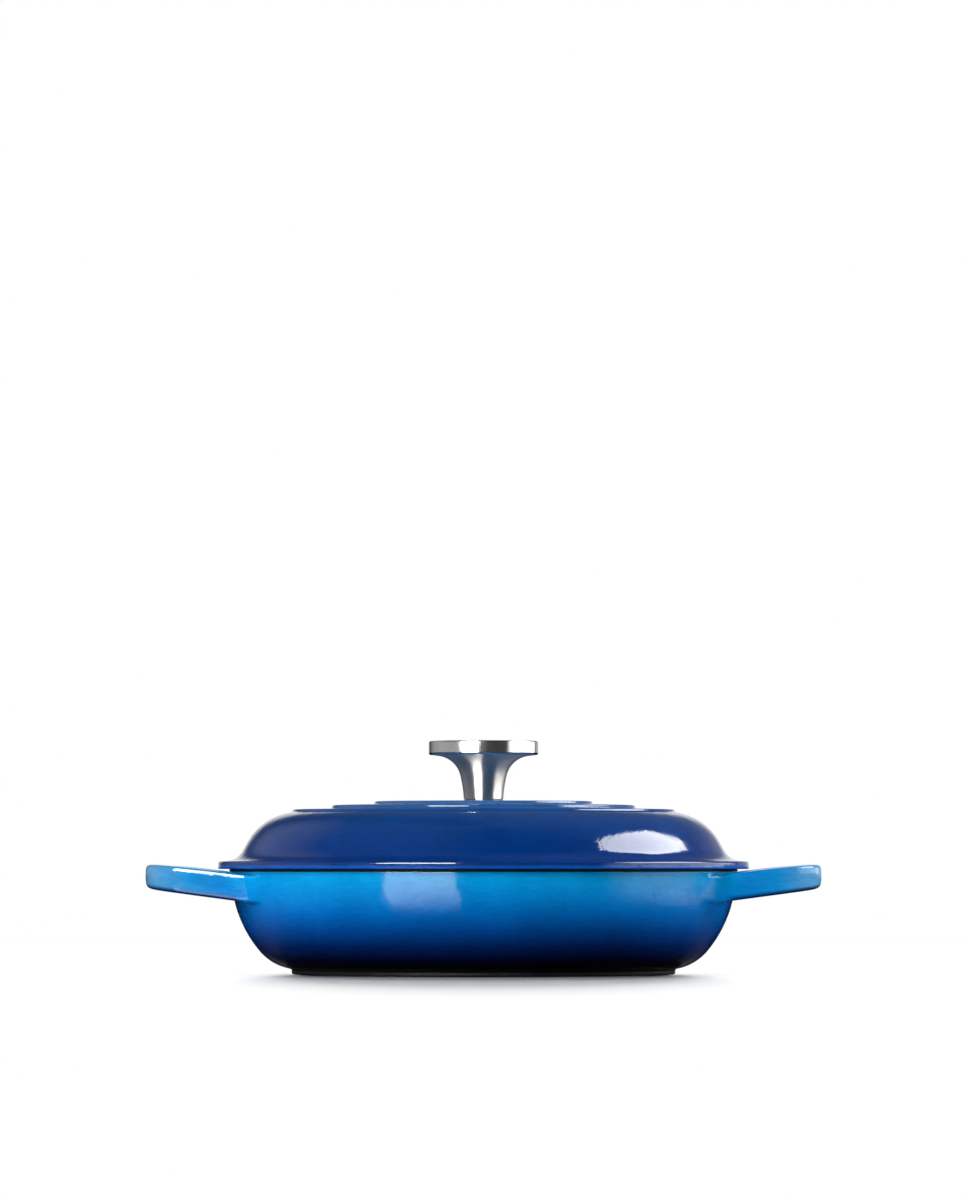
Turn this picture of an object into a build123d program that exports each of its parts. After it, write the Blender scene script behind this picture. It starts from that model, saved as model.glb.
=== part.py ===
from build123d import *
import math
import os

# Braiser of enamelled cast iron: a shallow pot with two cast loop handles, a stepped lid and a steel knob.
# Millimetres and degrees. +Z is up, the pot stands on z = 0 and the handles point along X.

# Pot casting
rim_radius = 130.7
pot_height = 53.9
pot_wall = 3.9
wall_lean = 10.0
belly_radius = 62.0
belly_turn = 30.0
base_bend_radius = 26.5
foot_inset = 32.4
foot_height = 2.4
foot_edge = 1.4
foot_ring_width = 25.3
recess_depth = 1.0
recess_edge = 0.6
rim_edge = 0.9

# Loop handles, cast with the pot
handle_reach = 41.7
handle_root_half = 59.5
handle_tip_half = 49.0
handle_corner = 23.0
handle_bar = 15.9
handle_arm = 15.0
handle_drop = 1.9
handle_rise = 6.5
handle_crown = 0.6
handle_rim_thickness = 13.45
handle_tip_thickness = 12.7
handle_edge = 4.0
handle_blend = 1.5
handle_bite = 2.0
finger_corner = 10.0

# Lid casting
lid_height = 35.3
lid_wall = 4.0
flange_overhang = 5.5
flange_thickness = 4.1
flange_edge = 1.3
side_foot_inset = 4.2
side_slope = 61.0
cove_radius = 10.5
shoulder_radius = 29.0
shoulder_slope = 14.0
step_insets = (75.0, 53.1, 32.9)
step_heights = (1.35, 1.85, 1.2)
tread_falls = (0.5, 0.65, 0.35)
step_draft = 0.6
step_edge = 0.9
skirt_depth = 5.0
skirt_width = 4.0
skirt_gap = 1.0
skirt_edge = 1.2
skirt_blend = 6.0
knob_pad_radius = 12.0
screw_pad_radius = 13.0
screw_pad_height = 0.8
screw_hole_gap = 0.6

# Knob, a steel disc on a flared steel neck
stem_foot_radius = 10.15
stem_foot_height = 1.2
stem_foot_slope = 87.0
stem_wall = 1.5
stem_edge = 1.1
sweep_radius = 62.0
sweep_turn = 11.0
flare_radius = 13.0
flare_turn = 68.0
cap_radius = 28.15
cap_height = 7.2
cap_wall = 1.6
cap_gap = 0.2
cap_top_edge = 0.8
cap_bottom_edge = 1.2
insert_height = 10.0
insert_gap = 0.2

# Fasteners under the lid
screw_radius = 3.0
thread_gap = 0.15
thread_engagement = 8.5
head_radius = 6.0
head_height = 3.4
head_edge = 1.6
drive_length = 6.4
drive_width = 1.3
drive_depth = 1.8
washer_radius = 9.0
washer_thickness = 1.6
washer_edge = 0.3
washer_gap = 0.2
lock_radius = 5.4
lock_thickness = 1.6
lock_split = 1.0

overrun = 5.0
tolerance = 0.01

# Radii that follow the pot's rim
mouth_radius = rim_radius - pot_wall / math.cos(math.radians(wall_lean))
foot_radius = rim_radius - foot_inset
handle_tip_radius = rim_radius + handle_reach
flange_radius = rim_radius + flange_overhang
side_foot_radius = rim_radius - side_foot_inset
step_radii = [rim_radius - inset for inset in step_insets]

# Heights where the pieces meet
lid_top = pot_height + lid_height
flange_top = pot_height + flange_thickness
screw_pad_face = lid_top - lid_wall - screw_pad_height
lock_face = screw_pad_face - washer_thickness
head_face = lock_face - lock_thickness


def turned(outline):
    """Solid turned about the Z axis from a closed outline of (radius, height)."""
    return revolve(Plane.XZ * make_face(outline), Axis.Z)


def disc(radius, bottom, thickness):
    """Round plate on the Z axis, standing on the height bottom."""
    return extrude(Plane.XY.offset(bottom) * Circle(radius), thickness)


def heading(degrees):
    """Unit direction at an angle above the outward horizontal, in an outline of (radius, height)."""
    return Vector(math.cos(math.radians(degrees)), math.sin(math.radians(degrees)))


def rise_of_arc(radius, low, high):
    """Height that an arc gains while its heading turns from low to high degrees."""
    return radius * (math.cos(math.radians(low)) - math.cos(math.radians(high)))


def meeting(upper, upper_slope, lower, lower_slope):
    """Point where a line that falls away outward from upper meets one that climbs inward from lower."""
    gentle = math.tan(math.radians(upper_slope))
    steep = math.tan(math.radians(lower_slope))
    radius = (lower.Y + steep * lower.X - upper.Y - gentle * upper.X) / (steep - gentle)
    return Vector(radius, upper.Y - gentle * (radius - upper.X))


def bowl(inset, above):
    """Solid inside the pot's outer skin, set in by inset and carried on above the rim."""
    wall_slope = 90 - wall_lean
    belly_slope = wall_slope - belly_turn
    bends = rise_of_arc(belly_radius, belly_slope, wall_slope) + rise_of_arc(base_bend_radius, 0, belly_slope)
    wall_run = (pot_height - foot_height - bends) / math.sin(math.radians(wall_slope))
    rim = Vector(rim_radius, pot_height) + heading(wall_slope + 90) * inset
    top = rim + heading(wall_slope) * above
    wall = Line(top, rim - heading(wall_slope) * wall_run)
    belly = JernArc(wall @ 1, wall % 1, belly_radius - inset, -belly_turn)
    bend = JernArc(belly @ 1, belly % 1, base_bend_radius - inset, -belly_slope)
    bottom = bend @ 1
    floor = Line(bottom, (0, bottom.Y))
    axis = Line((0, bottom.Y), (0, top.Y))
    lip = Line((0, top.Y), top)
    return turned(wall + belly + bend + floor + axis + lip)


def foot():
    """Foot disc under the bowl, its edge rounded and its face recessed inside the ring it stands on."""
    top = foot_height + pot_wall / 2
    ring = foot_radius - foot_ring_width
    outline = FilletPolyline(
        (0, recess_depth),
        (ring - recess_depth, recess_depth),
        (ring, 0),
        (foot_radius, 0),
        (foot_radius, top),
        (0, top),
        radius=(0, recess_edge, recess_edge, foot_edge, 0, 0),
        close=True,
    )
    return turned(outline)


def half_loop_plan(root, reach, root_half, tip_half, corner):
    """Plan outline, open side towards the pot, of a handle's loop or of its finger hole."""
    return FilletPolyline(
        (root, root_half),
        (reach, tip_half),
        (reach, -tip_half),
        (root, -root_half),
        radius=(0, corner, corner, 0),
        close=True,
    )


def handle():
    """One loop handle on the +X side, from inside the pot's wall to its tip, with its edges rounded."""
    root = math.sqrt(rim_radius**2 - handle_root_half**2) - pot_wall - handle_bite
    plan = half_loop_plan(root, handle_tip_radius, handle_root_half, handle_tip_half, handle_corner)
    bar = handle_tip_radius - handle_bar
    finger_root = handle_root_half - handle_arm
    finger_tip = handle_tip_half - handle_arm
    finger = half_loop_plan(root, bar, finger_root, finger_tip, finger_corner)
    rim_top = Vector(rim_radius, pot_height - handle_drop)
    tip_top = rim_top + heading(handle_rise) * (handle_reach / heading(handle_rise).X)
    tip_foot = tip_top - Vector(0, handle_tip_thickness)
    rim_foot = rim_top - Vector(0, handle_rim_thickness)
    inward = (rim_radius - root) / handle_reach
    root_top = rim_top + (rim_top - tip_top) * inward
    root_foot = rim_foot + (rim_foot - tip_foot) * inward
    crest = SagittaArc(root_top, tip_top, handle_crown)
    rest = Polyline(tip_top, tip_foot, root_foot, root_top)
    slab = extrude(Plane.XZ * make_face(crest + rest), handle_root_half + overrun, both=True)
    loop = extrude(make_face(plan) - make_face(finger), tip_top.Y + overrun)
    blank = loop & slab
    outside = blank.edges().filter_by(lambda edge: edge.center().X > root + handle_bite)
    rims = outside - outside.filter_by(Axis.Z)
    return fillet(rims, handle_edge)


def pot():
    """Pot casting: bowl, foot disc and both handles, with the cooking space cut out of them all."""
    body = bowl(0, 0) + foot()
    right = handle()
    for loop in (right, mirror(right, Plane.YZ)):
        joined = body + loop
        body = fillet(new_edges(body, loop, combined=joined), handle_blend)
    body -= bowl(pot_wall, overrun)
    rims = body.edges().filter_by_position(Axis.Z, pot_height - tolerance, pot_height + tolerance)
    return fillet(rims, rim_edge)


def lid():
    """Lid casting: stepped top, domed shoulder, cove, flange that rests on the rim and skirt inside the mouth."""
    points = [Vector(0, lid_top), Vector(knob_pad_radius, lid_top)]
    radii = [0]
    tread = lid_top
    for radius, step, fall in zip(step_radii, step_heights, tread_falls):
        points.append(Vector(radius, tread - fall))
        tread -= fall + step
        points.append(Vector(radius + step_draft, tread))
        radii += [step_edge, step_edge]
    side_foot = Vector(side_foot_radius, flange_top)
    points.append(meeting(points[-1], shoulder_slope, side_foot, side_slope))
    points += [side_foot, Vector(flange_radius, flange_top), Vector(flange_radius, pot_height)]
    radii += [shoulder_radius, cove_radius, flange_edge, flange_edge]

    skirt_outer = mouth_radius - skirt_gap
    skirt_low = skirt_outer - skirt_depth * math.tan(math.radians(wall_lean))
    skirt_inner = skirt_low - skirt_width
    skirt_foot = pot_height - skirt_depth
    inner_side = side_foot - heading(90 - side_slope) * lid_wall
    inner_slope = Vector(step_radii[-1], tread) - heading(90 - shoulder_slope) * lid_wall
    skirt_head = inner_side.Y + math.tan(math.radians(side_slope)) * (inner_side.X - skirt_inner)
    points += [Vector(skirt_outer, pot_height), Vector(skirt_low, skirt_foot), Vector(skirt_inner, skirt_foot)]
    radii += [rim_edge, skirt_edge, skirt_edge]
    points += [Vector(skirt_inner, skirt_head), meeting(inner_slope, shoulder_slope, inner_side, side_slope)]
    radii += [skirt_blend, shoulder_radius - lid_wall]
    points.append(inner_slope)
    skin = FilletPolyline(*points, radius=radii)
    ceiling = TangentArc((0, lid_top - lid_wall), inner_slope, tangent=(1, 0))
    axis = Line((0, lid_top - lid_wall), (0, lid_top))
    body = turned(skin + ceiling + axis)
    body += disc(screw_pad_radius, screw_pad_face, screw_pad_height + lid_wall / 2)
    return body - disc(screw_radius + screw_hole_gap, screw_pad_face - overrun, lid_height)


def stem_line(inset):
    """Line of the knob's neck, set in by inset, from its foot up and out to the cap's skirt."""
    side = Vector(stem_foot_radius, lid_top) + heading(stem_foot_slope + 90) * inset
    start = side - heading(stem_foot_slope) * (inset / math.tan(math.radians(stem_foot_slope)))
    neck = Line(start, side + heading(stem_foot_slope) * stem_foot_height)
    bend = JernArc(neck @ 1, neck % 1, sweep_radius + inset, -sweep_turn)
    flare = JernArc(bend @ 1, bend % 1, flare_radius + inset, -flare_turn)
    run = cap_radius - cap_wall - cap_gap - (flare @ 1).X
    plate = Line(flare @ 1, (flare @ 1) + (flare % 1) * (run / (flare % 1).X))
    return neck + bend + flare + plate


def knob_stem():
    """Hollow neck of the knob, spun from sheet, its foot on the lid's pad and its plate inside the cap."""
    outside = stem_line(0)
    inside = stem_line(stem_wall)
    edge = Line(outside @ 1, inside @ 1)
    foot_ring = Line(inside @ 0, outside @ 0)
    shell = turned(outside + edge + inside + foot_ring)
    foot_rim = shell.edges().group_by(Axis.Z)[0].sort_by(SortBy.RADIUS)[-1]
    return fillet(foot_rim, stem_edge)


def knob_cap():
    """Disc of the knob, a drawn steel cup whose skirt closes round the edge of the neck's plate."""
    bottom = (stem_line(0) @ 1).Y
    top = bottom + cap_height
    outline = FilletPolyline(
        (cap_radius - cap_wall, bottom),
        (cap_radius, bottom),
        (cap_radius, top),
        (0, top),
        (0, top - cap_wall),
        (cap_radius - cap_wall, top - cap_wall),
        radius=(0, cap_bottom_edge, cap_top_edge, 0, 0, cap_top_edge / 2),
        close=True,
    )
    return turned(outline)


def knob_insert():
    """Threaded bush brazed into the foot of the neck."""
    bush = disc(stem_foot_radius - stem_wall - insert_gap, lid_top, insert_height)
    return bush - disc(screw_radius + thread_gap, lid_top - overrun, insert_height + 2 * overrun)


def knob_screw():
    """Pan head screw with a cross recess, from under the lid up into the bush."""
    head = disc(head_radius, head_face - head_height, head_height)
    head = fillet(head.edges().group_by(Axis.Z)[0], head_edge)
    shank = disc(screw_radius, head_face, lid_top + thread_engagement - head_face)
    slot = Pos(Z=head_face - head_height + (drive_depth - overrun) / 2)
    slot *= Box(drive_length, drive_width, drive_depth + overrun)
    return head + shank - slot - Rot(Z=90) * slot


def flat_washer():
    """Plain washer against the pad under the lid."""
    plate = disc(washer_radius, lock_face, washer_thickness)
    plate -= disc(screw_radius + washer_gap, lock_face - overrun, washer_thickness + 2 * overrun)
    return fillet(plate.edges().filter_by(GeomType.CIRCLE).sort_by(SortBy.RADIUS)[-2:], washer_edge)


def spring_washer():
    """Split lock washer between the screw's head and the plain washer."""
    coil = disc(lock_radius, head_face, lock_thickness)
    coil -= disc(screw_radius + washer_gap, head_face - overrun, lock_thickness + 2 * overrun)
    split = Pos(lock_radius, 0, head_face + lock_thickness / 2) * Rot(X=45)
    split *= Box(2 * lock_radius, lock_split, 2 * overrun)
    return coil - split


os.makedirs("parts", exist_ok=True)
for make in (pot, lid, knob_cap, knob_stem, knob_insert, knob_screw, flat_washer, spring_washer):
    export_step(make(), f"parts/{make.__name__}.step")
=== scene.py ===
import bmesh
import bpy
import math
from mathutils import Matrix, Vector


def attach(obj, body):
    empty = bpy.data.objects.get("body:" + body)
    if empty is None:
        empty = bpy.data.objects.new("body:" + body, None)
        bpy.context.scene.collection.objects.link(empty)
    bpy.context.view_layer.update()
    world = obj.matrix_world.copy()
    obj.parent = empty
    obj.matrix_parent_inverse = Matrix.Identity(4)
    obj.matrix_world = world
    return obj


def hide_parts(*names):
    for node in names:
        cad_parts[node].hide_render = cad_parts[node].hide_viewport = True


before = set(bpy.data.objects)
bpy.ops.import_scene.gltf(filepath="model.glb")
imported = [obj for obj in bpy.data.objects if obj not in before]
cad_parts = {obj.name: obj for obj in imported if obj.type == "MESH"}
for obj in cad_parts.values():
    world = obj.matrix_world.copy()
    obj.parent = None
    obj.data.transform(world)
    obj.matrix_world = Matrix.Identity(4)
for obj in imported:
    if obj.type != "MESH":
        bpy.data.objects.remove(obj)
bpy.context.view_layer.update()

# Studio. A long lens looks at the braiser almost from table height. The table is pale and matt, and
# the room is dark apart from a softbox front left, one high on the right, two white cards low on the
# right and the white background, which is what the enamel and the steel mirror.
camera_place = Vector((0, -4.0, 0.058))
camera_aim = Vector((0, 0, 0.192))
camera_lens = 233.8

camera_data = bpy.data.cameras.new("camera")
camera_data.lens = camera_lens
camera_data.sensor_width = 36
camera_data.clip_start = 0.05
camera_data.clip_end = 100
camera = bpy.data.objects.new("camera", camera_data)
camera.location = camera_place
camera.rotation_euler = (camera_aim - camera_place).to_track_quat("-Z", "Y").to_euler()
bpy.context.scene.collection.objects.link(camera)
bpy.context.scene.camera = camera
bpy.context.scene.view_settings.view_transform = "Standard"


def mesh_piece(name, points, faces):
    """Object of plain mesh data, linked to the scene."""
    mesh = bpy.data.meshes.new(name)
    mesh.from_pydata([tuple(p) for p in points], [], faces)
    mesh.validate()
    piece = bpy.data.objects.new(name, mesh)
    bpy.context.scene.collection.objects.link(piece)
    return piece


def new_material(name):
    """Empty node material, with its tree and its output."""
    material = bpy.data.materials.new(name)
    material.use_nodes = True
    tree = material.node_tree
    tree.nodes.clear()
    return material, tree, tree.nodes.new("ShaderNodeOutputMaterial")


def add(tree, kind, links=None, **values):
    """New node, its properties and sockets set by name, its inputs linked from other nodes' outputs."""
    node = tree.nodes.new("ShaderNode" + kind)
    for key, value in values.items():
        if hasattr(node, key):
            setattr(node, key, value)
        else:
            node.inputs[key.replace("_", " ")].default_value = value
    for key, source in (links or {}).items():
        tree.links.new(source, node.inputs[key])
    return node


def ease(tree, source, low, high, start=0.0, end=1.0, kind="SMOOTHSTEP"):
    """Value taken from low to high onto start to end."""
    node = add(tree, "MapRange", {"Value": source}, interpolation_type=kind,
               From_Min=low, From_Max=high, To_Min=start, To_Max=end)
    return node.outputs[0]


def math_of(tree, operation, *values):
    """Result of one operation on numbers or on other nodes' outputs."""
    node = add(tree, "Math", operation=operation)
    for socket, value in zip(node.inputs, values):
        if isinstance(value, (int, float)):
            socket.default_value = value
        else:
            tree.links.new(value, socket)
    return node.outputs[0]


def stretched(tree, vector, factors):
    """Vector whose X, Y and Z are each multiplied by a factor of their own."""
    node = add(tree, "VectorMath", {0: vector}, operation="MULTIPLY")
    node.inputs[1].default_value = factors
    return node.outputs[0]


def mirror_only(card):
    """A card that only reflections see."""
    card.visible_camera = False
    card.visible_diffuse = False
    card.visible_shadow = False
    card.visible_transmission = False


def toward(azimuth, elevation, distance, height=0.06):
    """Point seen from the braiser's middle, its azimuth counted from the camera's side towards +X."""
    turn, lift = math.radians(azimuth), math.radians(elevation)
    flat = math.cos(lift) * distance
    return Vector((math.sin(turn) * flat, -math.cos(turn) * flat, math.sin(lift) * distance + height))


card_distance = 2.4


def softbox(name, bearings, strength, side_hem, top_hem, foot_hem=0.001, mirrors=(1, 9),
            cloth=((0, 0), (1, 0), (1, 1), (0, 1))):
    """Card that glows evenly and fades over its hems, which are shares of its width and height.

    Its corners are given as azimuths and elevations, the lower ones first, and cloth says where each
    lies across and up the card. It shows from the first to the last of the numbers of mirrors.
    """
    corners = [toward(azimuth, elevation, card_distance) for azimuth, elevation in bearings]
    card = mesh_piece(name, corners, [tuple(range(len(corners)))])
    layer = card.data.uv_layers.new(name="cloth")
    for loop, place in zip(layer.data, cloth):
        loop.uv = place
    material, tree, output = new_material(name)
    split = add(tree, "SeparateXYZ", {0: add(tree, "TexCoord").outputs["UV"]})
    across, up = split.outputs["X"], split.outputs["Y"]
    sides = math_of(tree, "MULTIPLY", ease(tree, across, 0, side_hem),
                    ease(tree, across, 1, 1 - side_hem))
    ends = math_of(tree, "MULTIPLY", ease(tree, up, 0, foot_hem), ease(tree, up, 1, 1 - top_hem))
    glow = math_of(tree, "MULTIPLY", math_of(tree, "MULTIPLY", sides, ends), strength)
    mirrored = add(tree, "LightPath").outputs["Ray Depth"]
    shown = math_of(tree, "MULTIPLY", math_of(tree, "GREATER_THAN", mirrored, mirrors[0] - 0.5),
                    math_of(tree, "LESS_THAN", mirrored, mirrors[1] + 0.5))
    light = add(tree, "Emission", {"Strength": glow}).outputs[0]
    clear = add(tree, "BsdfTransparent").outputs[0]
    mix = add(tree, "MixShader", {0: shown, 1: clear, 2: light})
    tree.links.new(mix.outputs[0], output.inputs[0])
    card.data.materials.append(material)
    mirror_only(card)


softbox("left_softbox", ((-10.8, 2.4), (-46.8, 2.4), (-46.8, 42), (-10.8, 42)), 32, 0.06, 0.42)
softbox("right_softbox", ((127, 20), (67, 20), (67, 43.5), (86, 52), (127, 45)), 12.5, 0.12, 0.1, 0.2,
        mirrors=(1, 1), cloth=((0, 0), (1, 0), (1, 0.76), (0.68, 1), (0, 1)))
softbox("right_card", ((142, -0.4), (48, -0.4), (48, 15), (142, 15)), 3.2, 0.25, 0.35, mirrors=(1, 1))
softbox("right_low_card", ((130, -1), (52, 1), (52, 17), (130, 10.5)), 8, 0.3, 0.4, 0.03,
        mirrors=(2, 9))

# the room round the braiser: dark in front and overhead, grey at the sides, open to the white
# background behind
room_radius = 3.2
room_rings = 24


def round_stack(outline):
    """Points and faces of an open shell turned from an outline of (radius, height)."""
    sides = 48
    stack_points, stack_faces = [], []
    for radius, height in outline:
        for side in range(sides):
            turn = math.tau * side / sides
            stack_points.append((math.cos(turn) * radius, math.sin(turn) * radius, height))
    for ring in range(len(outline) - 1):
        for side in range(sides):
            a, b = ring * sides + side, ring * sides + (side + 1) % sides
            stack_faces.append((a, b, b + sides, a + sides))
    return stack_points, stack_faces


quarter = [math.pi / 2 * ring / room_rings for ring in range(room_rings + 1)]
room_outline = [(math.cos(turn) * room_radius, math.sin(turn) * room_radius) for turn in quarter]
room = mesh_piece("dark_room", *round_stack(room_outline))
room_material, tree, output = new_material("dark_room")
on_room = add(tree, "TexCoord").outputs["Object"]
way = add(tree, "VectorMath", {0: on_room}, operation="NORMALIZE").outputs[0]
flat_way = stretched(tree, way, (1, 1, 0))
level_way = add(tree, "VectorMath", {0: flat_way}, operation="NORMALIZE").outputs[0]


def lobe(tree, way, aim, low, high, most):
    """Soft spot of light on the wall of the room round the direction aim."""
    dot = add(tree, "VectorMath", {0: way}, operation="DOT_PRODUCT")
    dot.inputs[1].default_value = Vector(aim).normalized()
    return ease(tree, dot.outputs["Value"], low, high, 0.0, most)


left_wall = lobe(tree, level_way, toward(-75, 0, 1, 0), 0.1, 1.0, 0.52)
back_left_spot = lobe(tree, way, toward(-130, 28, 1, 0), 0.88, 1.0, 0.3)
right_wall = lobe(tree, level_way, toward(125, 0, 1, 0), 0.1, 1.0, 0.45)
climb = add(tree, "SeparateXYZ", {0: way}).outputs["Z"]
walls = math_of(tree, "ADD", left_wall, right_wall)
walls = math_of(tree, "MULTIPLY", walls, ease(tree, climb, 0.0, 0.5, 1.0, 0.25))
walls = math_of(tree, "ADD", walls, ease(tree, climb, 0.1, 0.6, 0.08, 0.02))
walls = math_of(tree, "ADD", walls, back_left_spot)
glow = add(tree, "Emission", {"Strength": walls})
opening = lobe(tree, way, (0, 1, 0.02), 0.92, 0.99, 1.0)
mix = add(tree, "MixShader", {0: opening, 1: glow.outputs[0], 2: add(tree, "BsdfTransparent").outputs[0]})
tree.links.new(mix.outputs[0], output.inputs[0])
room.data.materials.append(room_material)
room_material.cycles.emission_sampling = "NONE"
mirror_only(room)

# the table: matt, with the shadow of the pot near it and pure white far away, polished at a
# glancing angle, no bar to a look from below, and cut out under the foot so that light gets there
table_half = 14.0
cut_out_radius = 0.096
table_corners = [(-table_half, -table_half, 0), (table_half, -table_half, 0)]
table_corners += [(table_half, table_half, 0), (-table_half, table_half, 0)]
table = mesh_piece("table", table_corners, [(0, 1, 2, 3)])
table_material, tree, output = new_material("table")
on_table = add(tree, "TexCoord").outputs["Object"]
far = add(tree, "VectorMath", {0: on_table}, operation="LENGTH").outputs["Value"]
path = add(tree, "LightPath").outputs
matt = add(tree, "BsdfDiffuse", Color=(0.3, 0.302, 0.308, 1))
dim = add(tree, "BsdfDiffuse", Color=(0.22, 0.22, 0.225, 1))
lit = add(tree, "MixShader", {0: path["Is Diffuse Ray"], 1: matt.outputs[0], 2: dim.outputs[0]})
white = add(tree, "Emission", Strength=1.0)
seen = math_of(tree, "MAXIMUM", path["Is Camera Ray"], path["Is Transmission Ray"])
seen = math_of(tree, "MAXIMUM", seen, path["Is Glossy Ray"])
whitened = math_of(tree, "MULTIPLY", ease(tree, far, 0.9, 1.7), seen)
table_top = add(tree, "MixShader", {0: whitened, 1: lit.outputs[0], 2: white.outputs[0]})
sheen = add(tree, "BsdfGlossy", Roughness=0.14, Color=(1, 1, 1, 1))
void = add(tree, "Emission", Strength=0.003)
glance = add(tree, "Fresnel", IOR=1.5).outputs[0]
shine = math_of(tree, "MULTIPLY", glance, ease(tree, glance, 0.03, 0.16))
shine = math_of(tree, "MINIMUM", shine, ease(tree, glance, 0.25, 0.45, 0.18, 0.035))
behind = add(tree, "SeparateXYZ", {0: on_table}).outputs["Y"]
shine = math_of(tree, "MULTIPLY", shine, ease(tree, behind, -0.05, 0.1, 1.0, 0.03))
polish = add(tree, "MixShader", {0: shine, 1: void.outputs[0], 2: sheen.outputs[0]})
mix = add(tree, "MixShader", {0: path["Is Glossy Ray"], 1: table_top.outputs[0], 2: polish.outputs[0]})
hidden = add(tree, "NewGeometry").outputs["Backfacing"]
hidden = math_of(tree, "MULTIPLY", hidden, path["Is Camera Ray"])
hidden = math_of(tree, "MAXIMUM", hidden, math_of(tree, "LESS_THAN", far, cut_out_radius))
mix = add(tree, "MixShader", {0: hidden, 1: mix.outputs[0], 2: add(tree, "BsdfTransparent").outputs[0]})
tree.links.new(mix.outputs[0], output.inputs[0])
table.data.materials.append(table_material)

# white background, and even light from all round
world = bpy.data.worlds.new("studio")
bpy.context.scene.world = world
world.use_nodes = True
world.cycles.sampling_method = "NONE"
tree = world.node_tree
tree.nodes.clear()
output = tree.nodes.new("ShaderNodeOutputWorld")
path = add(tree, "LightPath").outputs
seen = math_of(tree, "MAXIMUM", path["Is Camera Ray"], path["Is Glossy Ray"])
seen = math_of(tree, "MAXIMUM", seen, path["Is Transmission Ray"])
ambient = add(tree, "Background", Strength=0.42, Color=(0.92, 0.97, 1, 1))
backdrop = add(tree, "Background", Strength=1.0, Color=(1, 1, 1, 1))
mix = add(tree, "MixShader", {0: seen, 1: ambient.outputs[0], 2: backdrop.outputs[0]})
tree.links.new(mix.outputs[0], output.inputs[0])

# lamps for the braiser alone, and three for the table alone: they make the soft shadow on it from a
# plain round core inside the pot
core_outline = [(0.0, 0.002), (0.092, 0.002), (0.108, 0.016)]
core_outline += [(0.104, 0.05), (0.06, 0.075), (0.0, 0.075)]
core = mesh_piece("shadow_core", *round_stack(core_outline))
core.visible_camera = False
core.visible_diffuse = False
core.visible_glossy = False
core.visible_transmission = False


def linked(name, piece, state):
    """Collection that takes one piece in, or only keeps it out, for a lamp's light or shadow."""
    made = bpy.data.collections.new(name)
    made.objects.link(piece)
    made.collection_objects[0].light_linking.link_state = state
    return made


all_but_table = linked("all_but_table", table, "EXCLUDE")
table_only = linked("table_only", table, "INCLUDE")
all_but_core = linked("all_but_core", core, "EXCLUDE")
core_only = linked("core_only", core, "INCLUDE")


def lamp(name, kind, place, power, for_table=False, **shape):
    """Soft lamp aimed at the braiser, which nothing mirrors."""
    data = bpy.data.lights.new(name, kind)
    data.energy = power
    for key, value in shape.items():
        setattr(data, key, value)
    piece = bpy.data.objects.new(name, data)
    piece.location = place
    piece.rotation_euler = (Vector((0, 0, 0.05)) - place).to_track_quat("-Z", "Y").to_euler()
    piece.visible_glossy = False
    piece.visible_camera = False
    piece.light_linking.receiver_collection = table_only if for_table else all_but_table
    piece.light_linking.blocker_collection = core_only if for_table else all_but_core
    bpy.context.scene.collection.objects.link(piece)


lamp("left_lamp", "AREA", toward(-30, 18, 2.0), 36, shape="RECTANGLE", size=0.8, size_y=0.8)
lamp("right_lamp", "AREA", toward(106, 22, 2.0), 54, shape="RECTANGLE", size=1.4, size_y=1.2)
lamp("top_lamp", "AREA", Vector((0, 0.4, 2.2)), 5, shape="RECTANGLE", size=2.0, size_y=1.6)
lamp("table_low_light", "SUN", toward(180, 7.5, 3.0), 40, True, angle=math.radians(13))
lamp("table_back_light", "SUN", toward(180, 16, 3.0), 13.8, True, angle=math.radians(31))
lamp("table_top_light", "SUN", Vector((0, 0, 3.0)), 1.1, True, angle=math.radians(60))

# Lid: one iron casting with a flat flange, a cove, a domed shoulder and three low steps, in dark blue
# vitreous enamel that lightens towards the middle. Inside it is sand coloured, and its seat and skirt
# are matt black. It rests on the pot by its own weight.
mm = 0.001
rim_radius = 130.7
pot_height = 53.9
wall_thickness = 3.9
wall_lean = math.radians(10)
mouth_radius = rim_radius - wall_thickness / math.cos(wall_lean)
lid_top = 89.2
lid_thickness = 4
flange_radius = 136.15
flange_top = 58.0
side_foot_radius = 126.5
dome_slope, side_slope = 14, 61
step_lean, step_round = 0.6, 0.9
skirt_room, skirt_depth, skirt_thickness = 1, 5, 4
pad_radius, pad_thickness = 13, 4.8
hole_radius = 3.6
black_reach = 134.6
# the flange stands a hair off the rim
seat = pot_height + 0.05


def rounded(corners, radii, step=0.12, hold=0.12):
    """Outline through the corners, each rounded, with points close beside every arc."""
    outline = []
    for index, corner in enumerate(corners):
        here = Vector(corner)
        radius = radii[index]
        if index in (0, len(corners) - 1) or radius == 0:
            outline.append(here)
            continue
        back = Vector(corners[index - 1]) - here
        ahead = Vector(corners[index + 1]) - here
        back_way, ahead_way = back.normalized(), ahead.normalized()
        opening = back_way.angle(ahead_way)
        reach = radius / math.tan(opening / 2)
        middle = here + (back_way + ahead_way).normalized() * (radius / math.sin(opening / 2))
        start, end = here + back_way * reach, here + ahead_way * reach
        turn = math.pi - opening
        count = max(4, min(28, math.ceil(turn / step)))
        if back.length > reach + hold:
            outline.append(start + back_way * hold)
        from_middle = start - middle
        sign = 1 if from_middle.x * (end - middle).y - from_middle.y * (end - middle).x > 0 else -1
        for index_on_arc in range(count + 1):
            swing = sign * turn * index_on_arc / count
            outline.append(middle + Vector((
                from_middle.x * math.cos(swing) - from_middle.y * math.sin(swing),
                from_middle.x * math.sin(swing) + from_middle.y * math.cos(swing),
            )))
        if ahead.length > reach + hold:
            outline.append(end + ahead_way * hold)
    return outline


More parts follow.
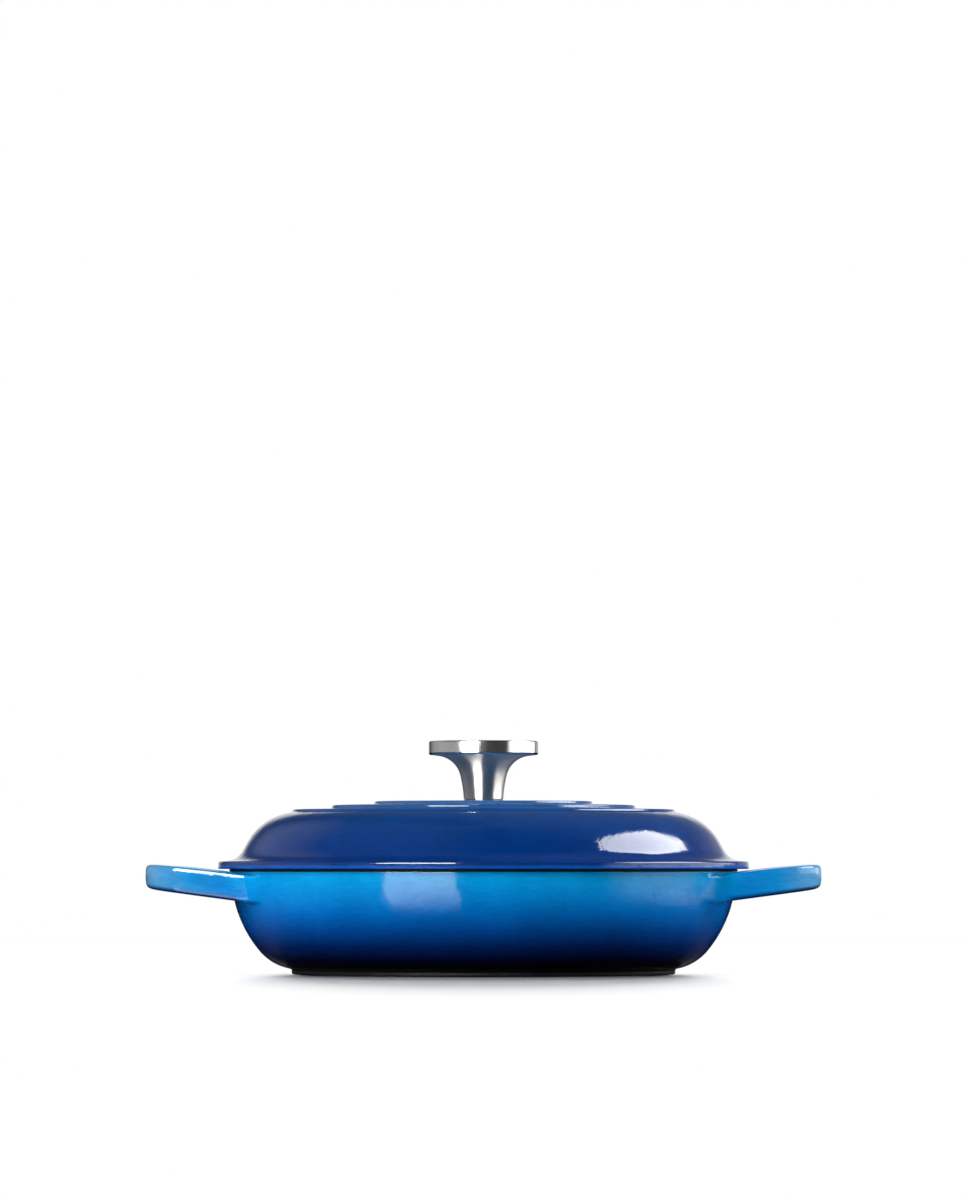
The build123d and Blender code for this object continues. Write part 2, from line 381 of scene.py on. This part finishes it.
def heading(degrees):
    """Unit direction in an outline, at an angle above the outward horizontal."""
    return Vector((math.cos(math.radians(degrees)), math.sin(math.radians(degrees))))


def meeting(upper, upper_slope, lower, lower_slope):
    """Point where a line that falls outward from upper meets one that climbs inward from lower."""
    gentle, steep = math.tan(math.radians(upper_slope)), math.tan(math.radians(lower_slope))
    radius = (lower.y + steep * lower.x - upper.y - gentle * upper.x) / (steep - gentle)
    return Vector((radius, upper.y - gentle * (radius - upper.x)))


def ring_face(lower, upper, side):
    """Face between two rings of points, with corners that fall together taken once."""
    after = (side + 1) % len(lower)
    corners = [lower[side], lower[after], upper[after], upper[side]]
    return [corner for index, corner in enumerate(corners) if corner != corners[index - 1]]


def turned(name, outline, sides, coats=None):
    """Smooth turned piece from a closed outline of (radius, height) in millimetres."""
    points, faces, rings, face_coats = [], [], [], []
    for radius, height in [(p.x, p.y) for p in outline]:
        first = len(points)
        if radius < 1e-6:
            points.append((0, 0, height * mm))
            rings.append([first] * sides)
            continue
        for side in range(sides):
            turn = math.tau * side / sides
            points.append((math.cos(turn) * radius * mm, math.sin(turn) * radius * mm, height * mm))
        rings.append(list(range(first, first + sides)))
    for index, (lower, upper) in enumerate(zip(rings, rings[1:] + rings[:1])):
        for side in range(sides):
            corners = ring_face(lower, upper, side)
            if len(set(corners)) > 2:
                faces.append(corners)
                face_coats.append(coats[index] if coats else 0)
    piece = mesh_piece(name, points, faces)
    piece.data.flip_normals()
    piece.data.polygons.foreach_set("use_smooth", [True] * len(piece.data.polygons))
    piece.data.polygons.foreach_set("material_index", face_coats)
    return piece


# outside, from the middle down the steps and the shoulder, then under the flange and round the skirt
corners = [Vector((0, lid_top)), Vector((12, lid_top))]
radii = [0, 0]
tread = lid_top
for step_radius, step_height, fall in ((55.7, 1.35, 0.5), (77.6, 1.85, 0.65), (97.8, 1.2, 0.35)):
    corners.append(Vector((step_radius, tread - fall)))
    tread -= fall + step_height
    corners.append(Vector((step_radius + step_lean, tread)))
    radii += [step_round, step_round]
side_foot = Vector((side_foot_radius, flange_top))
corners.append(meeting(corners[-1], dome_slope, side_foot, side_slope))
corners += [side_foot, Vector((flange_radius, flange_top)), Vector((flange_radius, seat))]
radii += [29, 10.5, 1.3, 0.8]
inner_side = side_foot - heading(90 - side_slope) * lid_thickness
inner_slope = Vector((step_radius, tread)) - heading(90 - dome_slope) * lid_thickness
skirt_outer = mouth_radius - skirt_room
skirt_low = skirt_outer - skirt_depth * math.tan(wall_lean)
skirt_inner = skirt_low - skirt_thickness
skirt_foot = pot_height - skirt_depth
skirt_head = inner_side.y + math.tan(math.radians(side_slope)) * (inner_side.x - skirt_inner)
corners += [Vector((skirt_outer, seat)), Vector((skirt_low, skirt_foot))]
corners += [Vector((skirt_inner, skirt_foot)), Vector((skirt_inner, skirt_head))]
corners += [meeting(inner_slope, dome_slope, inner_side, side_slope), inner_slope]
radii += [0.9, 1.2, 1.2, 6, 25, 0]
lid_outline = rounded(corners, radii)

# inside, up an arc to the flat pad round the screw's hole
ceiling = lid_top - lid_thickness
bow = (inner_slope.x ** 2 + (ceiling - inner_slope.y) ** 2) / (2 * (ceiling - inner_slope.y))


def on_ceiling(radius):
    """Point at a radius on the arc inside the lid."""
    return Vector((radius, ceiling - bow + math.sqrt(bow ** 2 - radius ** 2)))


ceiling_radii = [inner_slope.x * (1 - share / 24) for share in range(1, 24)]
lid_outline += [on_ceiling(radius) for radius in ceiling_radii if radius > pad_radius + 0.5]
lid_outline += rounded([
    on_ceiling(pad_radius + 0.4),
    Vector((pad_radius, lid_top - pad_thickness)),
    Vector((hole_radius, lid_top - pad_thickness)),
    Vector((hole_radius, lid_top)),
    Vector((hole_radius + 0.3, lid_top)),
], [0, 0.3, 0.3, 0.15, 0])
lid_outline[0] = Vector((hole_radius + 0.6, lid_top))

# the coats by their place in a casting's list of materials
blue_coat, black_coat, sand_coat = range(3)
lowest = min(range(len(lid_outline)), key=lambda index: lid_outline[index].y)
lid_coats = []
for index, (here, there) in enumerate(zip(lid_outline, lid_outline[1:] + lid_outline[:1])):
    middle = (here + there) / 2
    bare_rim = middle.y < seat + 0.4 and middle.x < black_reach
    lid_coats.append(black_coat if bare_rim else sand_coat if index >= lowest else blue_coat)
lid = turned("lid_casting", lid_outline, 288, lid_coats)


def surface(name, *inputs):
    """Node group that gives a surface its tone, roughness and relief, and its two ends."""
    made = bpy.data.node_groups.new(name, "ShaderNodeTree")
    for label, value in inputs:
        socket = made.interface.new_socket(label, in_out="INPUT", socket_type="NodeSocketFloat")
        socket.default_value = value
    for label in ("Tone", "Roughness", "Height"):
        made.interface.new_socket(label, in_out="OUTPUT", socket_type="NodeSocketFloat")
    return made, made.nodes.new("NodeGroupInput").outputs, made.nodes.new("NodeGroupOutput").inputs


def noise(tree, place, scale, detail, roughness):
    """Cloudy noise, its grain as fine as scale is great."""
    node = add(tree, "TexNoise", {"Vector": place}, Scale=scale, Detail=detail, Roughness=roughness)
    return node.outputs["Fac"]


# fired enamel: long waves in the glass, fine ripple, a cloudy tone and slightly duller patches
enamel_surface, given, made = surface("fired_enamel", ("Peel", 1.0), ("Gloss", 0.08))
tree = enamel_surface
place = add(tree, "TexCoord").outputs["Object"]
waves = noise(tree, place, 120.0, 1.0, 0.4)
ripple = noise(tree, place, 480.0, 1.0, 0.5)
cloud = noise(tree, place, 38.0, 3.0, 0.55)
fleck = noise(tree, place, 900.0, 2.0, 0.6)
streak = noise(tree, stretched(tree, place, (1, 1, 5)), 140.0, 3.0, 0.6)
relief = math_of(tree, "MULTIPLY_ADD", ripple, 0.22, waves)
tree.links.new(math_of(tree, "MULTIPLY", relief, given["Peel"]), made["Height"])
tone = math_of(tree, "MULTIPLY_ADD", fleck, 0.2, math_of(tree, "MULTIPLY", cloud, 0.6))
tree.links.new(math_of(tree, "MULTIPLY_ADD", streak, 0.6, tone), made["Tone"])
dull = ease(tree, cloud, 0.35, 0.75, 0.0, 0.05)
tree.links.new(math_of(tree, "ADD", dull, given["Gloss"]), made["Roughness"])


def ramp(tree, source, low, high, stops):
    """Colours, as (place, colour), over a value that runs from low to high."""
    node = add(tree, "ValToRGB", {0: ease(tree, source, low, high, kind="LINEAR")})
    elements = node.color_ramp.elements
    for end in (0, -1):
        elements[end].position, elements[end].color = stops[end][0], (*stops[end][1], 1)
    for position, colour in stops[1:-1]:
        elements.new(position).color = (*colour, 1)
    return node.outputs[0]


def sprayed_over(tree, share, below, over):
    """A colour with a share of another over it, which is given or made in the tree."""
    node = add(tree, "Mix", {"Factor": share, 6: below}, data_type="RGBA")
    if isinstance(over, tuple):
        node.inputs[7].default_value = (*over, 1)
    else:
        tree.links.new(over, node.inputs[7])
    return node.outputs[2]


def coated(name, surface, values, colour, depth, vary=0.1, **constants):
    """Material whose surface group varies a colour, given or made in its tree, and gives its relief."""
    material, tree, output = new_material(name)
    finish = tree.nodes.new("ShaderNodeGroup")
    finish.node_tree = surface
    for key, value in values.items():
        finish.inputs[key].default_value = value
    tone = ease(tree, finish.outputs["Tone"], 0.45, 0.95, 1 - vary, 1 + vary, kind="LINEAR")
    shade = add(tree, "HueSaturation", {"Value": tone})
    if callable(colour):
        tree.links.new(colour(tree), shade.inputs["Color"])
    else:
        shade.inputs["Color"].default_value = (*colour, 1)
    bump = add(tree, "Bump", {"Height": finish.outputs["Height"]}, Strength=1.0, Distance=depth)
    shader = add(tree, "BsdfPrincipled", {
        "Base Color": shade.outputs[0],
        "Roughness": finish.outputs["Roughness"],
        "Normal": bump.outputs[0],
    }, **constants)
    tree.links.new(shader.outputs[0], output.inputs[0])
    return material


def along(tree, axis):
    """Height, or distance from the axis of the braiser, in metres, on the piece itself."""
    place = add(tree, "TexCoord").outputs["Object"]
    if axis != "radius":
        return add(tree, "SeparateXYZ", {0: place}).outputs[axis]
    flat = stretched(tree, place, (1, 1, 0))
    return add(tree, "VectorMath", {0: flat}, operation="LENGTH").outputs["Value"]


def lid_blue(tree):
    """Sprayed blue of the lid: pale in the middle, navy on the shoulder and flange."""
    reach = along(tree, "radius")
    dome = ramp(tree, reach, 0.0, 0.137, [
        (0.0, (0.05, 0.12, 0.26)),
        (0.45, (0.03, 0.10, 0.26)),
        (0.7, (0.006, 0.048, 0.18)),
        (0.9, (0.0003, 0.024, 0.14)),
        (1.0, (0.0003, 0.024, 0.14)),
    ])
    # brighter blue on the lower outer edge of the flange
    brighter_flange_edge = math_of(tree, "MULTIPLY", ease(tree, reach, 0.1346, 0.1356),
                   ease(tree, along(tree, "Z"), 0.0563, 0.0552))
    return sprayed_over(tree, brighter_flange_edge, dome, (0.002, 0.06, 0.30))


matt_black = coated("matt_black_enamel", enamel_surface, {"Peel": 2.0, "Gloss": 0.5},
                    (0.009, 0.009, 0.010), 0.00006, IOR=1.2)
sand = coated("sand_enamel", enamel_surface, {"Peel": 1.0, "Gloss": 0.14},
              (0.70, 0.60, 0.43), 0.0001, vary=0.05, IOR=1.45)
lid.data.materials.append(coated("lid_enamel", enamel_surface, {"Peel": 1.0, "Gloss": 0.06},
                                 lid_blue, 0.00015, vary=0.2, IOR=1.45))
lid.data.materials.append(matt_black)
lid.data.materials.append(sand)
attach(lid, "lid")
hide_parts("lid")

# Pot: one iron casting with a foot disc and two loop handles that flow out of its wall. Outside it is
# azure vitreous enamel that darkens to navy at the foot, its rim and foot are matt black and its
# inside is sand coloured. It stands loose on the table.
belly_middle, belly_radius = (67.31, 51.72), 62
bend_middle, bend_radius = (94.5, 28.9), 26.5
foot_radius = 98.3
recess_depth = 1.0
floor_height = 6.3
arm_turns = (16.8, 20.7, 25.3, 29.2)


def wall_at(height, inset=0.0):
    """Row on the straight wall at a height, set in by inset."""
    return (rim_radius - (pot_height - height) * math.tan(wall_lean) - inset, height)


def bowed(middle, radius, *slopes):
    """Rows on an arc of the wall, each where it climbs at the given slope."""
    return [(middle[0] + radius * math.sin(math.radians(s)), middle[1] - radius * math.cos(math.radians(s)))
            for s in slopes]


# rows of (radius, height) from the middle of the underside out over the foot, up the outside, over
# the rim and down the inside
rows = [(0, recess_depth), (45, recess_depth), (70.8, recess_depth), (72.1, 0.92), (72.9, 0.08)]
rows += [(radius, 0.0) for radius in (74.3, 86, 95.9, foot_radius)]
rows += [(foot_radius, 1.3), (foot_radius, 2.67)]
foot_row = len(rows) - 1
rows += bowed(bend_middle, bend_radius, 11, 18, 25, 32, 39, 45)
rows += bowed(belly_middle, belly_radius, 50, 55, 60, 65, 70, 73, 75.8)
arm_rows = range(len(rows) - 1, len(rows) + 3)
rows += [wall_at(height) for height in (41.2, 46.0, 51.0, 51.75)]
rows += [wall_at(52.15, -0.03), wall_at(52.5, 0.03), wall_at(52.7, 0.15)]
band_row = len(rows) - 1
rows += [wall_at(52.78, 0.28), wall_at(53.0, 0.32), wall_at(53.4, 0.32), wall_at(pot_height, 0.32)]
rows += [(129.2, pot_height), (128.0, pot_height), (mouth_radius, pot_height)]
rows += [wall_at(height, rim_radius - mouth_radius) for height in (52.5, 50.5, 50.2, 46.0)]
sand_row = len(rows) - 2
rows += bowed(belly_middle, belly_radius - wall_thickness, 80, 75, 70, 65, 60, 55)
rows += bowed(bend_middle, bend_radius - wall_thickness, 50, 42, 34, 26, 18, 9, 0)
rows += [(radius, floor_height) for radius in (80, 50, 25, 0)]

# columns round the pot in degrees, four of them on the root of each arm
quadrant = [0, 3.4, 6.7, 10.1, 13.4, *arm_turns]
quadrant += [arm_turns[-1] + (90 - arm_turns[-1]) * share / 15 for share in range(1, 16)]
turns = quadrant + [180 - turn for turn in quadrant[-2::-1]]
turns += [180 + turn for turn in quadrant[1:]] + [360 - turn for turn in quadrant[-2:0:-1]]
per_quarter = len(quadrant) - 1
# the cage stands a little proud, because its smoothed surface draws in
proud = 1.0008
points, rings = [], []
for radius, height in rows:
    if radius == 0:
        points.append(Vector((0, 0, height)))
        rings.append([len(points) - 1] * len(turns))
        continue
    rings.append(list(range(len(points), len(points) + len(turns))))
    flat = radius * proud
    for turn in map(math.radians, turns):
        points.append(Vector((math.cos(turn) * flat, math.sin(turn) * flat, height)))

# the wall, with a gap where each of the four arms leaves it
gaps = {}
for across, half in ((1, 1), (-1, 1), (-1, -1), (1, -1)):
    columns = [quadrant.index(turn) for turn in arm_turns]
    if across < 0:
        columns = [2 * per_quarter - column for column in columns]
    if half < 0:
        columns = [4 * per_quarter - column for column in columns]
    gaps[across, half] = columns
covered = {(row, min(a, b)) for columns in gaps.values() for row in arm_rows[:-1]
           for a, b in zip(columns, columns[1:])}
foot_coat = 3
faces, coats = [], []
for row in range(len(rows) - 1):
    coat = (foot_coat if row < foot_row else blue_coat if row < band_row
            else black_coat if row < sand_row else sand_coat)
    for column in range(len(turns)):
        if (row, column) not in covered:
            faces.append(ring_face(rings[row], rings[row + 1], column))
            coats.append(coat)

# the handles: the slopes of their underside and top, their heights where these meet the rim's
# radius, and the low crown of the top
loop_foot_height, loop_foot_slope = 38.55, 0.1319
loop_top_height, loop_top_slope = 52.0, 0.1139
crown_height, crown_middle, crown_half = 0.6, 141.4, 31.0


def loop_height(x, share):
    """Height in a handle at a distance x from the middle, from its underside to its crowned top."""
    foot = loop_foot_height + (x - rim_radius) * loop_foot_slope
    crown = crown_height * (1 - ((x - crown_middle) / crown_half) ** 2)
    top = loop_top_height + (x - rim_radius) * loop_top_slope + crown
    return foot + (top - foot) * share


# the loop's inner and outer line: out along the arm, round the corner and down the bar
arm_start = (Vector((128.0, 40.5)), Vector((120.0, 57.9)))
arm_crease = (Vector((125.8, 41.0)), Vector((117.6, 58.3)))
arm_end = (Vector((148.72, 35.77)), Vector((153.24, 52.25)))
corner_middles = (Vector((146.5, 26.02)), Vector((149.4, 29.57)))
corner_radii = (10, 23)
corner_turns = (77.15, 80.38)
bar_inner, bar_outer = 156.5, 172.4
stations = [tuple(a.lerp(b, share / 4) for a, b in zip(arm_start, arm_end)) for share in range(5)]
for step in range(1, 8):
    station = []
    for middle, radius, turn in zip(corner_middles, corner_radii, corner_turns):
        rest = math.radians(turn * (1 - step / 7))
        station.append(middle + Vector((math.cos(rest), math.sin(rest))) * radius)
    stations.append(tuple(station))
for inner, outer in ((19.5, 22.2), (13, 14.8), (6.5, 7.4), (0, 0)):
    stations.append((Vector((bar_inner, inner)), Vector((bar_outer, outer))))
arm_square, bar_square = 0.09, 0.28
draft = 0.024


def section(square):
    """Outline of the bar's section as shares across and up, its edges as tight as square is small."""
    edge, far = 0.005 + 0.1 * square, 1 - square
    below = [(edge, 0.04), (square, -0.008), (far, -0.008), (1 - edge, 0.04)]
    outside = [(1.001, square), (1.001, far)]
    above = [(1 - edge, 0.96), (far, 1.008), (square, 1.008), (edge, 0.96)]
    inside = [(-0.006, far), (-0.006, square)]
    return [(share + draft * (1 - lift) * (1 if share < 0.5 else -1), lift)
            for share, lift in below + outside + above + inside]


# the twelve points of the wall round an arm's gap, in the order of the section's
around = [(0, 0), (1, 0), (2, 0), (3, 0), (3, 1), (3, 2), (3, 3), (2, 3), (1, 3), (0, 3), (0, 2), (0, 1)]
for across in (1, -1):
    path_rings = []
    for half in (1, -1):
        columns = gaps[across, half]
        arm_rings = [[rings[arm_rows[v]][columns[u]] for u, v in around]]
        for index, station in enumerate(stations if half > 0 else stations[:-1]):
            ring = []
            square = arm_square + (bar_square - arm_square) * min(1, max(0, (index - 4) / 5))
            for share, lift in section(square):
                inner, outer = arm_crease if index == 0 and lift < 0.2 else station
                flat = inner.lerp(outer, share)
                ring.append(len(points))
                points.append(Vector((flat.x * across, flat.y * half, loop_height(flat.x, lift))))
            arm_rings.append(ring)
        path_rings += arm_rings if half > 0 else arm_rings[::-1]
    for here, there in zip(path_rings, path_rings[1:]):
        faces += [ring_face(here, there, side) for side in range(len(around))]
        coats += [blue_coat] * len(around)

pot = mesh_piece("pot_casting", [p * mm for p in points], faces)
pot.data.polygons.foreach_set("use_smooth", [True] * len(pot.data.polygons))
pot.data.polygons.foreach_set("material_index", coats)
shaped = bmesh.new()
shaped.from_mesh(pot.data)
bmesh.ops.recalc_face_normals(shaped, faces=shaped.faces)
shaped.to_mesh(pot.data)
shaped.free()
smoothing = pot.modifiers.new("smoothing", "SUBSURF")
smoothing.levels = 2
smoothing.render_levels = 2


def pot_blue(tree):
    """Sprayed blue of the pot: azure at the rim, navy at the foot, paler on the handles, with painted shade
    low on the belly, at the handles' roots and under them, and a painted sheen on the handles' tips.
    """
    # the fade to near black at the foot is partly the enamel's own navy, partly painted shade under the
    # belly
    bowl_fade_and_shade = ramp(tree, along(tree, "Z"), 0.0, 0.054, [
        (0.0, (0.0006, 0.0006, 0.004)),
        (0.14, (0.0006, 0.002, 0.018)),
        (0.28, (0.0003, 0.015, 0.10)),
        (0.43, (0.0002, 0.052, 0.25)),
        (0.6, (0.0001, 0.118, 0.42)),
        (0.78, (0.0001, 0.198, 0.53)),
        (0.92, (0.0001, 0.27, 0.60)),
        (1.0, (0.0001, 0.225, 0.53)),
    ])
    side = math_of(tree, "ABSOLUTE", along(tree, "X"))
    # paler enamel on the handles, darker at their roots as painted shade and whitened at their tips as a
    # painted sheen
    handle_tone_and_light = ramp(tree, side, 0.125, 0.173, [
        (0.0, (0.001, 0.16, 0.48)),
        (0.5, (0.004, 0.215, 0.53)),
        (1.0, (0.085, 0.245, 0.41)),
    ])
    over = sprayed_over(tree, ease(tree, side, 0.124, 0.134), bowl_fade_and_shade, handle_tone_and_light)
    # navy on the underside of the handles and in the crease under them: partly thinner spray there, partly
    # painted shade
    above = math_of(tree, "MULTIPLY_ADD", side, -loop_foot_slope, along(tree, "Z"))
    loop_foot = (loop_foot_height - rim_radius * loop_foot_slope) * mm
    underside = ease(tree, above, loop_foot + 0.003, loop_foot + 0.0006)
    low = math_of(tree, "MULTIPLY", ease(tree, side, 0.121, 0.128), underside)
    return sprayed_over(tree, low, over, (0.0004, 0.02, 0.11))


def foot_black(tree):
    """Matt black of the foot: darkest on its edge, which is deepened there as painted shade, rubbed to
    charcoal underneath.
    """
    return ramp(tree, along(tree, "radius"), 0.0955, 0.0975, [
        (0.0, (0.035, 0.034, 0.034)),
        (1.0, (0.006, 0.006, 0.007)),
    ])


pot.data.materials.append(coated("pot_enamel", enamel_surface, {"Peel": 1.0, "Gloss": 0.06},
                                 pot_blue, 0.00014, vary=0.2, IOR=1.42))
pot.data.materials.append(matt_black)
pot.data.materials.append(sand)
pot.data.materials.append(coated("foot_enamel", enamel_surface, {"Peel": 2.0, "Gloss": 0.5},
                                 foot_black, 0.00006, vary=0.35, IOR=1.2))
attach(pot, "pot")
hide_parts("pot")

# Knob: a drawn steel cup closed over the plate of a spun neck, both turned and brushed round their
# axis, with a hairline where they meet. The screw from under the lid holds it.
cap_radius = 28.15
cap_wall = 1.6
cap_height = 7.2
neck_radius = 10.15
neck_slope = 87
neck_wall = 1.5


def swept(start, slope, radius, turn, steps):
    """Points along an arc that leaves start at a slope and bends outward, and the slope at its end."""
    middle = start + Vector((math.sin(math.radians(slope)), -math.cos(math.radians(slope)))) * radius
    arc = []
    for step in range(1, steps + 1):
        now = math.radians(slope - turn * step / steps)
        arc.append(middle - Vector((math.sin(now), -math.cos(now))) * radius)
    return arc, slope - turn


def neck_line(inset):
    """Line of the neck, set in by inset, from its foot up and out to the skirt of the disc."""
    foot = Vector((neck_radius, lid_top)) + heading(neck_slope + 90) * inset
    line = [foot - heading(neck_slope) * (inset / math.tan(math.radians(neck_slope))),
            foot + heading(neck_slope) * 1.2]
    slope = neck_slope
    for radius, turn, steps in ((62, 11, 10), (13, 68, 24)):
        arc, slope = swept(line[-1], slope, radius + inset, turn, steps)
        line += arc
    run = (cap_radius - cap_wall - 0.2 - line[-1].x) / heading(slope).x
    line += [line[-1] + heading(slope) * run * share for share in (0.1, 0.9, 1.0)]
    return line


neck_outside, neck_inside = neck_line(0), neck_line(neck_wall)
foot_round = rounded([neck_inside[0], neck_outside[0], neck_outside[1]], [0, 1.1, 0])
neck = turned("knob_neck", neck_outside[1:] + neck_inside[::-1] + foot_round[1:-1], 144)
disc_low = neck_outside[-1].y
disc_top = disc_low + cap_height
disc_outline = rounded([
    Vector((cap_radius - cap_wall, disc_low)),
    Vector((cap_radius, disc_low)),
    Vector((cap_radius, disc_top)),
    Vector((0, disc_top)),
], [0, 1.2, 0.8, 0])
disc_outline[-1:] = [Vector((radius, disc_top)) for radius in (20, 10, 0)]
disc_outline += rounded([
    Vector((0, disc_top - cap_wall)),
    Vector((cap_radius - cap_wall, disc_top - cap_wall)),
    Vector((cap_radius - cap_wall, disc_low)),
], [0, 0.4, 0])[:-1]
disc = turned("knob_disc", disc_outline, 192)

# turned steel: fine grooves round the axis, a few deeper ones, and soft cloudy handling marks
steel_surface, given, made = surface("turned_steel", ("Groove", 1.0), ("Gloss", 0.2))
tree = steel_surface
place = add(tree, "TexCoord").outputs["Object"]
profile = add(tree, "CombineXYZ", {"X": along(tree, "radius"), "Y": along(tree, "Z")}).outputs[0]
grooves = noise(tree, profile, 5200.0, 2.0, 0.7)
lines = noise(tree, profile, 900.0, 1.0, 0.5)
marks = noise(tree, place, 90.0, 3.0, 0.6)
relief = math_of(tree, "MULTIPLY_ADD", grooves, 0.4, lines)
tree.links.new(math_of(tree, "MULTIPLY", relief, given["Groove"]), made["Height"])
tree.links.new(math_of(tree, "MULTIPLY_ADD", lines, 0.4, marks), made["Tone"])
worn = ease(tree, marks, 0.35, 0.7, -0.02, 0.05)
tree.links.new(math_of(tree, "ADD", worn, given["Gloss"]), made["Roughness"])


def steel(name, colour, gloss, groove, vary, anisotropic):
    """Turned steel whose highlights stretch across the grooves."""
    made = coated(name, steel_surface, {"Groove": groove, "Gloss": gloss}, colour, 0.00001,
                  vary=vary, Metallic=1.0, Anisotropic=anisotropic, Anisotropic_Rotation=0.25)
    tree = made.node_tree
    shader = next(node for node in tree.nodes if node.type == "BSDF_PRINCIPLED")
    grain = add(tree, "Tangent", direction_type="RADIAL", axis="Z")
    tree.links.new(grain.outputs[0], shader.inputs["Tangent"])
    return made


neck.data.materials.append(steel("brushed_neck", (0.64, 0.59, 0.54), 0.36, 1.0, 0.05, 1.0))
disc.data.materials.append(steel("brushed_disc", (0.64, 0.64, 0.65), 0.15, 0.3, 0.04, 0.6))
for piece, node in ((neck, "knob_stem"), (disc, "knob_cap")):
    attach(piece, "lid")
    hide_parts(node)

# Fasteners: the brazed bush in the neck, and the screw with its plain and its split washer under the
# lid, stock parts of plain stainless steel.
stock_steel = steel("stock_steel", (0.48, 0.48, 0.48), 0.26, 1.0, 0.08, 0.0)
for name in ("knob_insert", "knob_screw", "flat_washer", "spring_washer"):
    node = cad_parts[name]
    node.data.materials.clear()
    node.data.materials.append(stock_steel)
